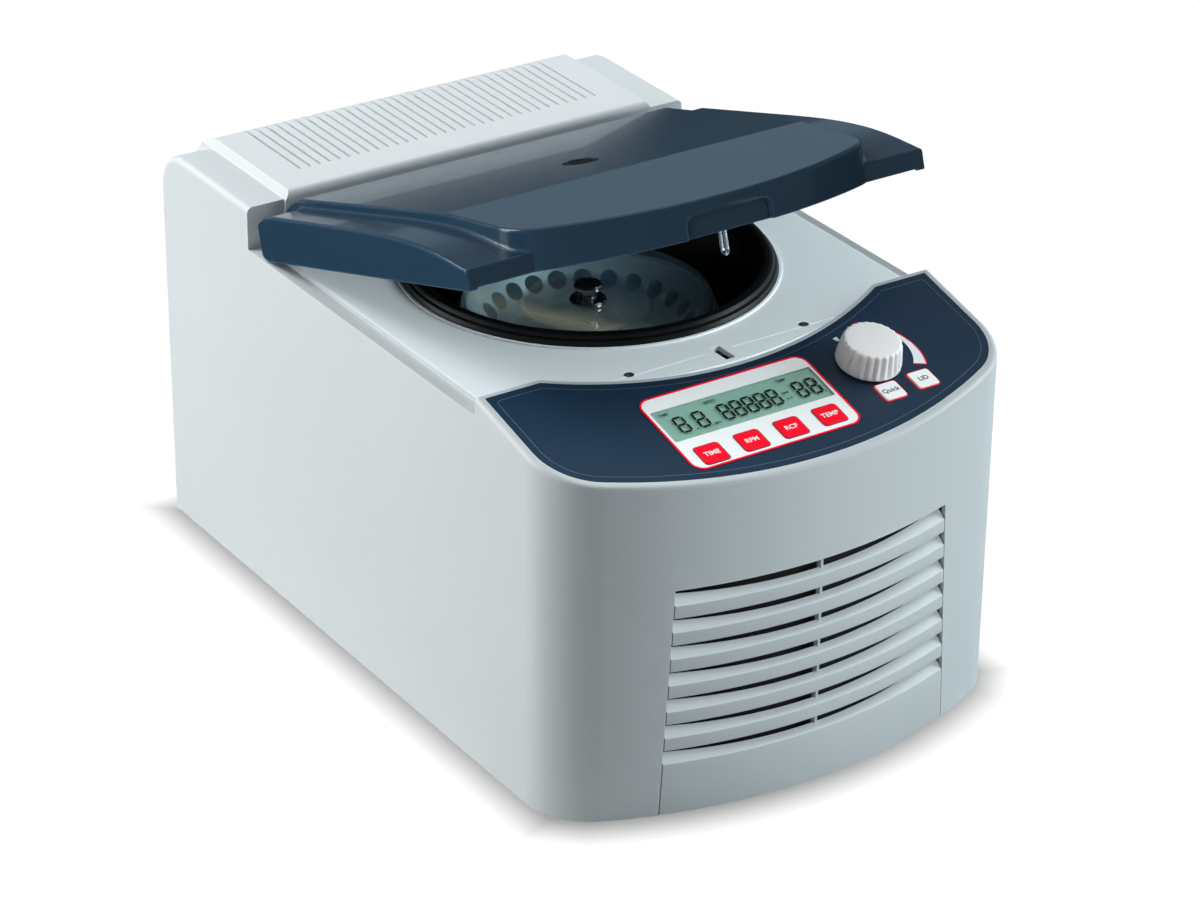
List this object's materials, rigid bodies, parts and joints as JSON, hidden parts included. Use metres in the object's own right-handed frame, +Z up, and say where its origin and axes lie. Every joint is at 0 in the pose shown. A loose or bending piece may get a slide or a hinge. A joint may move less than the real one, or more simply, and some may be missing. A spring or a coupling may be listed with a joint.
{
  "type": "laboratory centrifuge",
  "caption": "Bench-top refrigerated centrifuge with a hinged lid over a round chamber, an angled tube rotor, a sloped control panel with keys and a knob, and a louvred curved front.",
  "frame": {"origin": "centre of the footprint, on the plane the feet stand on; the rotor axis passes through it", "axes": "+Z up along the rotor axis, -Y towards the front with the control panel, +X to the right seen from the front"},
  "size_m": [0.288, 0.45, 0.3042],
  "materials": {
    "housing_plastic": "fine moulded texture, light grey",
    "panel_carrier_plastic": "plain moulded",
    "overlay_film": "navy printed film, satin",
    "display_white": "white printed film, satin",
    "display_lens": "clear window",
    "lcd": "grey-green reflective display",
    "red_key": "red satin key",
    "white_key": "white satin key",
    "knob_plastic": "light grey moulded",
    "circuit_board": "green solder mask",
    "zinc_steel": "zinc plated sheet and screws",
    "foam_filter": "black filter mat",
    "foam_insulation": "rigid foam",
    "soft_rubber": "black rubber",
    "bowl_black": "black coated bowl",
    "copper_pipe": "copper",
    "black_metal": "black enamel",
    "steel": "bright ground steel",
    "fin_aluminium": "plain fins",
    "rotor_aluminium": "anodised",
    "clear_lid": "translucent pale blue",
    "chrome_knob": "polished",
    "lid_plastic": "slate blue, semi gloss",
    "liner_plastic": "slate blue, satin",
    "smoked_window": "smoked clear plastic",
    "black_plastic": "black moulded"
  },
  "bodies": {
    "housing": {"main_housing": "housing_plastic", "rear_vent_cover": "housing_plastic", "front_grille": "housing_plastic", "top_deck": "housing_plastic", "panel_carrier": "panel_carrier_plastic", "panel_overlay": "overlay_film", "display_bezel": "display_white", "display_window": "display_lens", "lcd_module": "lcd", "control_pcb": "circuit_board", "encoder_body": "zinc_steel", "rear_panel": "zinc_steel", "base_plate": "zinc_steel", "chamber_support": "zinc_steel", "motor_mount_plate": "zinc_steel", "motor_stand": "zinc_steel", "hinge_brackets": "zinc_steel", "power_supply": "zinc_steel", "deck_screws": "zinc_steel", "case_screws": "zinc_steel", "foot_screws": "zinc_steel", "air_filter": "foam_filter", "chamber_insulation": "foam_insulation", "chamber_gasket": "soft_rubber", "rubber_feet": "soft_rubber", "motor_mounts": "soft_rubber", "shaft_seal": "soft_rubber", "chamber_bowl": "bowl_black", "evaporator_coil": "copper_pipe", "refrigerant_pipes": "copper_pipe", "motor_stator": "copper_pipe", "motor_housing": "black_metal", "compressor": "black_metal", "lock_solenoid": "black_metal", "motor_bearings": "steel", "condenser": "fin_aluminium", "fan_frame": "black_plastic", "lid_lock_housing": "black_plastic", "power_inlet": "black_plastic", "switch_frame": "black_plastic"},
    "lid": {"lid_shell": "lid_plastic", "lid_liner": "liner_plastic", "lid_viewport": "smoked_window", "latch_striker": "steel", "hinge_pins": "steel"},
    "rotor": {"rotor_body": "rotor_aluminium", "drive_shaft": "steel", "motor_rotor": "steel"},
    "rotor_lid": {"rotor_lid": "clear_lid"},
    "rotor_lid_knob": {"rotor_lid_knob": "chrome_knob"},
    "speed_knob": {"speed_knob": "knob_plastic"},
    "time_key": {"time_key": "red_key"},
    "rpm_key": {"rpm_key": "red_key"},
    "rcf_key": {"rcf_key": "red_key"},
    "temp_key": {"temp_key": "red_key"},
    "quick_key": {"quick_key": "white_key"},
    "lid_key": {"lid_key": "white_key"},
    "fan_blades": {"fan_blades": "black_plastic"},
    "power_rocker": {"power_rocker": "black_plastic"},
    "lock_bolt": {"lock_bolt": "steel"}
  },
  "joints": [
    {"name": "lid_hinge", "type": "hinge", "parent": "housing", "child": "lid", "pos_m": [0, 0.104, 0.2275], "axis": [-1, 0, 0], "range_deg": [-17.06, 55]},
    {"name": "rotor_spin", "type": "hinge", "parent": "housing", "child": "rotor", "pos_m": [0, 0, 0.15], "axis": [0, 0, 1], "continuous": true},
    {"name": "rotor_lid_lift", "type": "slide", "parent": "rotor", "child": "rotor_lid", "axis": [0, 0, 1], "range_m": [0, 0.016]},
    {"name": "rotor_lid_knob_turn", "type": "hinge", "parent": "rotor_lid", "child": "rotor_lid_knob", "pos_m": [0, 0, 0.195], "axis": [0, 0, 1], "continuous": true},
    {"name": "speed_knob_turn", "type": "hinge", "parent": "housing", "child": "speed_knob", "pos_m": [0.0642, -0.168, 0.20736], "axis": [0, -0.238, 0.9713], "continuous": true},
    {"name": "time_key_press", "type": "slide", "parent": "housing", "child": "time_key", "axis": [0, 0.238, -0.9713], "range_m": [0, 0.0008], "stiffness_N_per_m": 800},
    {"name": "rpm_key_press", "type": "slide", "parent": "housing", "child": "rpm_key", "axis": [0, 0.238, -0.9713], "range_m": [0, 0.0008], "stiffness_N_per_m": 800},
    {"name": "rcf_key_press", "type": "slide", "parent": "housing", "child": "rcf_key", "axis": [0, 0.238, -0.9713], "range_m": [0, 0.0008], "stiffness_N_per_m": 800},
    {"name": "temp_key_press", "type": "slide", "parent": "housing", "child": "temp_key", "axis": [0, 0.238, -0.9713], "range_m": [0, 0.0008], "stiffness_N_per_m": 800},
    {"name": "quick_key_press", "type": "slide", "parent": "housing", "child": "quick_key", "axis": [0, 0.238, -0.9713], "range_m": [0, 0.0008], "stiffness_N_per_m": 800},
    {"name": "lid_key_press", "type": "slide", "parent": "housing", "child": "lid_key", "axis": [0, 0.238, -0.9713], "range_m": [0, 0.0008], "stiffness_N_per_m": 800},
    {"name": "fan_spin", "type": "hinge", "parent": "housing", "child": "fan_blades", "pos_m": [0, -0.15, 0.082], "axis": [0, 1, 0], "continuous": true},
    {"name": "rocker_tip", "type": "hinge", "parent": "housing", "child": "power_rocker", "pos_m": [0.074, 0.2202, 0.09], "axis": [0, 0, 1], "range_deg": [0, 16]},
    {"name": "lock_bolt_slide", "type": "slide", "parent": "housing", "child": "lock_bolt", "axis": [1, 0, 0], "range_m": [0, 0.009]}
  ]
}
